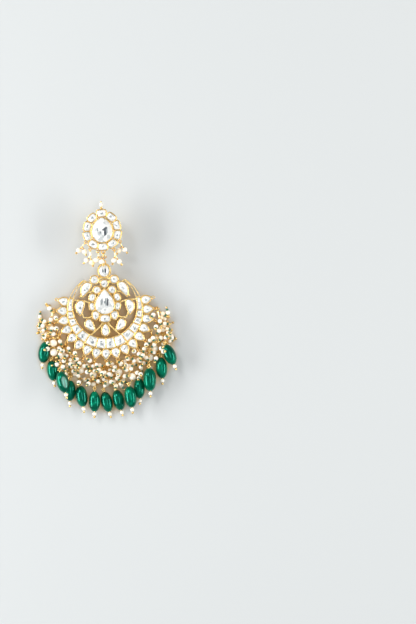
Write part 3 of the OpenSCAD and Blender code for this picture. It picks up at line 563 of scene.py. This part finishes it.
STUD_BALL, STRAND_BALL = 0.00181, 0.0024  # from a pearl's middle to its pin's ball
BALL_REACH = 0.00062                      # a ball's corner points lie closer to its middle than this
SMALL_PEARL, SMALL_SPREAD, BIG_PEARL = 0.00105, 0.00006, 0.0012
WRAP_GAP, BIG_WRAP_GAP = 0.00006, 0.00002
WRAP_SIDES, WRAP_STEPS = 6, 12            # round the wire, and in each turn of it
SEED_SHOULDER, SEED_HOLLOW, SEED_SIDES = 0.0002, 0.00002, 14
SEED_RADII, SEED_HALF, SEED_BORE = (0.00058, 0.00066), 0.00038, 0.00024
SEED_OUT = 0.0004                         # a seed bead's middle, from its pearl's skin
SEED_STREAKS = 900
SEED_DARK, SEED_GREEN = (0.0, 0.03, 0.02, 1), (0.0, 0.28, 0.14, 1)

wire_points = {name: [v.co.copy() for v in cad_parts[name].data.vertices] for name in wire_nodes}


def ball_side(node, middle, axis, reach):
    """The way along a pearl's axis to the ball of its pin"""
    wires = wire_points[node.replace("pearls", "wire" if node.startswith("strand") else "wires")]
    counts = [sum((p - (middle + axis * sign * reach)).length < BALL_REACH for p in wires) for sign in (1, -1)]
    return axis if counts[0] > counts[1] else -axis


def wrap(bm, middle, axis, start, turns=2.5, radius=0.00031, wire=0.00011, pitch=0.00021):
    """A coil of fine wire round the axis, which starts that far from the middle"""
    part, steps = bmesh.new(), int(turns * WRAP_STEPS)
    section = Matrix.Translation((radius, 0, start)) @ Matrix.Rotation(math.pi / 2, 4, "X")
    ring = bmesh.ops.create_circle(part, segments=WRAP_SIDES, radius=wire, matrix=section)["verts"]
    bmesh.ops.spin(part, geom=ring + part.edges[:], cent=(0, 0, 0), axis=(0, 0, 1),
                   dvec=(0, 0, pitch / WRAP_STEPS), angle=math.tau * steps / WRAP_STEPS, steps=steps)
    bmesh.ops.holes_fill(part, edges=[e for e in part.edges if e.is_boundary], sides=WRAP_SIDES)
    bmesh.ops.transform(part, matrix=place_on(middle, axis), verts=part.verts)
    join_part(bm, part)


def seed_bead(bm, place, wide, half, bore):
    """A short barrel bead with cut shoulders and slightly hollow ends"""
    turned_solid(bm, [(wide * 0.78, -half), (wide, -SEED_SHOULDER), (wide, SEED_SHOULDER), (wide * 0.78, half),
                      (bore, half - SEED_HOLLOW), (bore, SEED_HOLLOW - half)], SEED_SIDES, place)


def seed_glass():
    material, tree, sockets = new_finish("seed_glass", {"Roughness": 0.1, "Coat Weight": 1})
    tree.links.new(toned(tree, cloudy(tree, SEED_STREAKS), (0.0, SEED_DARK), (1.0, SEED_GREEN)), sockets["Base Color"])
    return material


seeds, wraps = bmesh.new(), bmesh.new()
chance = random.Random(8)
for node, found in pearls.items():
    for middle, axis, radius in found:
        if node == "stud_cluster_pearls":
            axis = ball_side(node, middle, axis, STUD_BALL)
            wrap(wraps, middle, -axis, radius + WRAP_GAP)
        elif abs(radius - SMALL_PEARL) < SMALL_SPREAD:
            axis = ball_side(node, middle, axis, STRAND_BALL)
            at = place_on(middle + axis * (radius + SEED_OUT), axis)
            seed_bead(seeds, at, chance.uniform(*SEED_RADII), SEED_HALF, SEED_BORE)
            wrap(wraps, middle, -axis, radius + WRAP_GAP)
        elif radius > BIG_PEARL:
            for way in (axis, -axis):
                wrap(wraps, middle, way, radius + BIG_WRAP_GAP, turns=1.5)

# ---------------------------------------------------------------------------------------------
# The finest head pins fill the clusters between the pears and the green beads: a pearl of about 2 mm
# or a bare gold ball on a thin pin, wrapped to a strand wire nearby. Each lies as low as it can
# without touching a piece that is already there.

PEARL_PINS, BALL_PINS = (84, 0.00096, 14000), (120, 0.0, 9000)   # how many, pearl radius, most tries
PIN_RADIUS, PIN_ROOM, PIN_SIDES = 0.00017, 0.0002, 6
BALL_RADIUS, BALL_ROOM, BARE_BALL_ROOM = 0.0005, 0.00055, 0.00052
BALL_SIDES, BALL_BANDS = 12, 8
BALL_OUT = 0.0014                         # the ball's middle, from its pearl's skin
# The clusters fan out round a hub in the pendant. They reach further out below it and on its right
FAN_X, FAN_Y, FAN_TURN = -0.00069, -0.00055, (-96, 98)
FAN_INNER, FAN_OUTER, FAN_BELOW, FAN_RIGHT = 0.0236, 0.0302, 0.0046, 0.0014
ROOM_STEP, ROOM_STEPS = 0.0003, 14        # upwards, from where a body would lie on the table
ROOT_REACH, ROOT_TRIES = 0.0032, 12
PIN_START, PIN_STEP = 0.0008, 0.0004      # where along a pin its room is looked at
PIN_LEAST, ROOT_CLEAR = 0.0006, 0.0007    # the least bare length of a pin, and from a body to its wire
TABLE_GAP, BODY_GAP = 0.0001, 0.00006
FILL_BORE, FILL_LENGTH, FILL_SQUEEZE = 0.0002, 0.98, 0.02
FILL_WRAP, FILL_WRAP_GAP, ROOT_WRAP_START = 0.00028, 0.00004, 0.00005
FILL_SEED_RADII, FILL_SEED_HALF, SEED_ROOM = (0.00054, 0.00062), 0.00036, 0.0006
FAR_LOOK = 0.006                          # no body is wider than this

corners, triangles = [], []
for name in sorted(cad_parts):
    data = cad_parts[name].data
    data.calc_loop_triangles()
    start = len(corners)
    corners += [v.co.copy() for v in data.vertices]
    triangles += [[start + i for i in t.vertices] for t in data.loop_triangles]
solids = BVHTree.FromPolygons(corners, triangles)
roots = [p for name in wire_nodes if name != "stud_cluster_wires" for p in wire_points[name]]
nearest_root = KDTree(len(roots))
for i, p in enumerate(roots):
    nearest_root.insert(p, i)
nearest_root.balance()
laid = []


def is_clear(spot, radius):
    """True where a ball of that radius touches no CAD solid, no pin laid before it and not the table"""
    found, normal, _, distance = solids.find_nearest(spot, FAR_LOOK)
    if found is not None and (distance < radius or (spot - found).dot(normal) < 0):
        return False
    return spot.z > radius and all((spot - other).length > radius + reach for other, reach in laid)


def clear_pin(root, spot, radius, beyond):
    """True where the pin from the root to the spot, and its ball beyond it, touch nothing"""
    way = (spot - root).normalized()
    run = (spot - root).length
    if run < radius + PIN_LEAST or not is_clear(spot + way * beyond, BALL_ROOM):
        return False
    return all(is_clear(root + way * t, PIN_ROOM) for t in np.arange(PIN_START, run - radius, PIN_STEP))


def lowest_clear(turn, reach, body):
    """The lowest spot with room for the body, at a turn from straight down and a reach from the fan's hub"""
    flat = Vector((FAN_X + reach * math.sin(turn), FAN_Y - reach * math.cos(turn), 0))
    for step in range(ROOM_STEPS):
        spot = flat + Vector((0, 0, body + TABLE_GAP + ROOM_STEP * step))
        if is_clear(spot, body + BODY_GAP):
            return spot
    return None


def straight_wire(bm, a, b, radius):
    run = (b - a).length
    place = place_on(a, (b - a).normalized()) @ Matrix.Translation((0, 0, run / 2))
    bmesh.ops.create_cone(bm, cap_ends=True, segments=PIN_SIDES, radius1=radius, radius2=radius, depth=run,
                          matrix=place)


fill_pearls, fill_pins = bmesh.new(), bmesh.new()
for wanted, size, tries in (PEARL_PINS, BALL_PINS):
    count = 0
    for _ in range(tries):
        radius = size * chance.uniform(0.85, 1.12)
        turn = math.radians(chance.uniform(*FAN_TURN))
        furthest = FAN_OUTER + FAN_BELOW * max(0, math.cos(turn)) + FAN_RIGHT * max(0, math.sin(turn))
        body, beyond = radius or BARE_BALL_ROOM, radius + (BALL_OUT if radius else 0)
        spot = lowest_clear(turn, chance.uniform(FAN_INNER, furthest), body)
        if spot is None:
            continue
        near = [p for p, _, d in nearest_root.find_range(spot, ROOT_REACH) if d > body + ROOT_CLEAR]
        chance.shuffle(near)
        root = next((p for p in near[:ROOT_TRIES] if clear_pin(p, spot, body, beyond)), None)
        if root is None:
            continue
        way = (spot - root).normalized()
        ball = spot + way * beyond
        straight_wire(fill_pins, root, ball, PIN_RADIUS)
        bmesh.ops.create_uvsphere(fill_pins, u_segments=BALL_SIDES, v_segments=BALL_BANDS,
                                  radius=BALL_RADIUS, matrix=place_on(ball, way))
        laid += [(spot, body), (ball, BALL_RADIUS)]
        laid += [(root + way * t, PIN_ROOM) for t in np.arange(PIN_START, (spot - root).length, PIN_STEP)]
        if radius:
            seed = spot + way * (radius + SEED_OUT)
            turned_solid(fill_pearls, bead_profile(radius, radius * FILL_LENGTH, FILL_BORE, PEARL_BANDS),
                         PEARL_SIDES, place_on(spot, way), FILL_SQUEEZE)
            seed_bead(seeds, place_on(seed, way), chance.uniform(*FILL_SEED_RADII), FILL_SEED_HALF, FILL_BORE)
            wrap(wraps, spot, -way, radius + FILL_WRAP_GAP, turns=2, radius=FILL_WRAP)
            laid.append((seed, SEED_ROOM))
        wrap(wraps, root, way, ROOT_WRAP_START, turns=2, radius=FILL_WRAP)
        count += 1
        if count == wanted:
            break
piece_of("fill_pearls", fill_pearls, nacre, "pearl")
piece_of("fill_pins", fill_pins, drawn_gold, "gold")
piece_of("seed_beads", seeds, seed_glass(), "green_bead")
piece_of("wire_wraps", wraps, drawn_gold, "gold")

# ---------------------------------------------------------------------------------------------
# Green beads: cloudy emerald-green stone, tumbled smooth and drilled lengthwise, about 5.6 x 9.8 mm,
# each a little darker or paler than the next. The third one has a painted glint on its upper side, a
# paler oval.

BEAD_BANDS, BEAD_SIDES = 36, 48
EMERALD_CLOUDS, CLOUD_DEPTH = 230, 0.0002 # a noise scale: 4 mm across
CAD_BEAD_BORE = 0.00032                   # it cuts the tips off the CAD bead's full oval
GLINT_SIDE, GLINT_DOWN = 0.0009, 0.0003 # the painted glint's middle, from the bead's
GLINT_HALF_WIDTH, GLINT_HALF_LENGTH = 0.0013, 0.0029
GLINT_EDGE, GLINT_SHARE = 5, 0.8        # how steeply it starts, and how much of it shows
# the colour of the painted glint
GLINT_GREEN = (0.26, 0.44, 0.38, 1)
DEEP_GREEN, MID_GREEN, PALE_GREEN = (0.0, 0.026, 0.014, 1), (0.0, 0.072, 0.035, 1), (0.0, 0.19, 0.095, 1)


def cloudy_emerald():
    material, tree, sockets = new_finish("cloudy_emerald", {
        "Roughness": 0.12, "IOR": 1.75, "Specular Tint": (0.04, 1.0, 0.7, 1),
        "Coat Weight": 0.06, "Coat Roughness": 0.03})
    cloud = cloudy(tree, EMERALD_CLOUDS, 5, 0.6)
    own, depth, glint = [tree.nodes.new("ShaderNode" + kind) for kind in ("ObjectInfo", "HueSaturation", "Attribute")]
    tree.links.new(ranged(tree, own.outputs["Random"], {"To Min": 0.7, "To Max": 1.3}), depth.inputs["Value"])
    tree.links.new(toned(tree, cloud, (0.3, DEEP_GREEN), (0.5, MID_GREEN), (0.72, PALE_GREEN)),
                   depth.inputs["Color"])
    glint.attribute_name = "window"
    tree.links.new(mixed(tree, glint.outputs["Fac"], depth.outputs["Color"], GLINT_GREEN), sockets["Base Color"])
    relief(tree, cloud, 0.08, CLOUD_DEPTH)
    return material


green = cloudy_emerald()
for node in [name for name in sorted(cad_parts) if name.startswith("drop_bead_")]:
    points, faces = loose_solids(node)[0]
    middle, axis, radius, half = drilled(points, faces)
    if axis.y < 0:
        axis = -axis
    half /= math.sqrt(1 - (CAD_BEAD_BORE / radius) ** 2)
    bm = bmesh.new()
    window = bm.verts.layers.float.new("window")
    chance = random.Random(node)
    turned_solid(bm, bead_profile(radius, half, BORE, BEAD_BANDS, chance.uniform(0.88, 1.0)), BEAD_SIDES,
                 place_on(middle, axis), chance.uniform(0.0, 0.03))
    # The third bead gets a painted glint: a paler oval on its upper half
    if node == "drop_bead_03":
        side = axis.cross(Vector((0, 0, 1))).normalized()
        for vert in bm.verts:
            spot = vert.co - middle
            across = (spot.dot(side) - GLINT_SIDE) / GLINT_HALF_WIDTH
            along = (spot.dot(axis) + GLINT_DOWN) / GLINT_HALF_LENGTH
            if spot.z > 0:
                vert[window] = max(0.0, min(1.0, (1.0 - math.hypot(across, along)) * GLINT_EDGE)) * GLINT_SHARE
    piece_of("tumbled_" + node[-7:], bm, green, "green_bead", node)

# ---------------------------------------------------------------------------------------------
# The stage: a pale, slightly cool board, a soft key light from the upper left, a strip of light on
# each side and one overhead that draw the upright streaks on the beads, and the camera straight
# above, with the frame 287 mm high.

BOARD_HALF, BOARD_GRAIN = 1.5, 6
UNDER_REACH, UNDER_SAMPLES = 0.0055, 8
BOARD_DARK, BOARD_PALE = (0.605, 0.63, 0.635, 1), (0.62, 0.645, 0.65, 1)
BOARD_PAINTED_SHADOW, BOARD_PAINTED_BOUNCE, NO_GLOW = (0.56, 0.36, 0.13, 1), (0.34, 0.215, 0.06, 1), (0, 0, 0, 1)
FRAME_HEIGHT, CAMERA_HEIGHT, SENSOR_MM = 0.287, 2, 36
LIT_SPOT = (0.04, 0, 0)


def pale_board():
    material, tree, sockets = new_finish("pale_board", {"Roughness": 0.7, "Emission Strength": 0.25})
    near = tree.nodes.new("ShaderNodeAmbientOcclusion")
    near.samples = UNDER_SAMPLES
    near.inputs["Distance"].default_value = UNDER_REACH
    # Close under the gold the board gets a painted warm tan shadow and a painted glow of light thrown back
    is_open = ranged(tree, near.outputs["AO"], {"From Min": 0.25, "From Max": 0.72})
    grain = toned(tree, cloudy(tree, BOARD_GRAIN), (0.0, BOARD_DARK), (1.0, BOARD_PALE))
    tree.links.new(mixed(tree, is_open, BOARD_PAINTED_SHADOW, grain), sockets["Base Color"])
    tree.links.new(mixed(tree, is_open, BOARD_PAINTED_BOUNCE, NO_GLOW), sockets["Emission Color"])
    return material


bm = bmesh.new()
bmesh.ops.create_grid(bm, x_segments=1, y_segments=1, size=BOARD_HALF)
data = bpy.data.meshes.new("table")
bm.to_mesh(data)
bm.free()
data.materials.append(pale_board())
table = bpy.data.objects.new("table", data)
bpy.context.scene.collection.objects.link(table)

# The sky pales upwards from the horizon
world = bpy.data.worlds.new("studio")
world.use_nodes = True
sky = world.node_tree
at, split = sky.nodes.new("ShaderNodeTexCoord"), sky.nodes.new("ShaderNodeSeparateXYZ")
sky.links.new(at.outputs["Generated"], split.inputs["Vector"])
sky.links.new(toned(sky, split.outputs["Z"], (0.0, (0.30, 0.30, 0.31, 1)), (0.6, (0.80, 0.81, 0.82, 1))),
              sky.nodes["Background"].inputs["Color"])
sky.nodes["Background"].inputs["Strength"].default_value = 0.56
bpy.context.scene.world = world

for name, at, size, power, colour in (
        ("key", (-0.8, 0.85, 1.35), (0.5, 0.5), 7.5, (1, 0.98, 0.95)),
        ("left_strip", (-0.85, -0.05, 0.38), (1.0, 0.25), 9.5, (1, 1, 1)),
        ("right_strip", (0.93, -0.05, 0.42), (0.9, 0.18), 5.5, (1, 0.99, 0.97)),
        ("top_strip", (0.36, 0, 1.6), (1.2, 0.2), 4.5, (1, 1, 1))):
    light = bpy.data.lights.new(name, "AREA")
    light.shape = "RECTANGLE"
    light.size, light.size_y = size
    light.energy, light.color = power, colour
    lamp = bpy.data.objects.new(name, light)
    lamp.location = at
    lamp.rotation_euler = (Vector(LIT_SPOT) - Vector(at)).to_track_quat("-Z", "Y").to_euler()
    bpy.context.scene.collection.objects.link(lamp)

camera = bpy.data.objects.new("camera", bpy.data.cameras.new("camera"))
camera.data.sensor_fit = "VERTICAL"
camera.data.sensor_height = SENSOR_MM
camera.data.lens = SENSOR_MM * CAMERA_HEIGHT / FRAME_HEIGHT
camera.data.clip_start = 0.05
camera.location = (0.0466, -0.00101, CAMERA_HEIGHT + 0.003)
bpy.context.scene.collection.objects.link(camera)
bpy.context.scene.camera = camera
bpy.context.scene.view_settings.view_transform = "Standard"
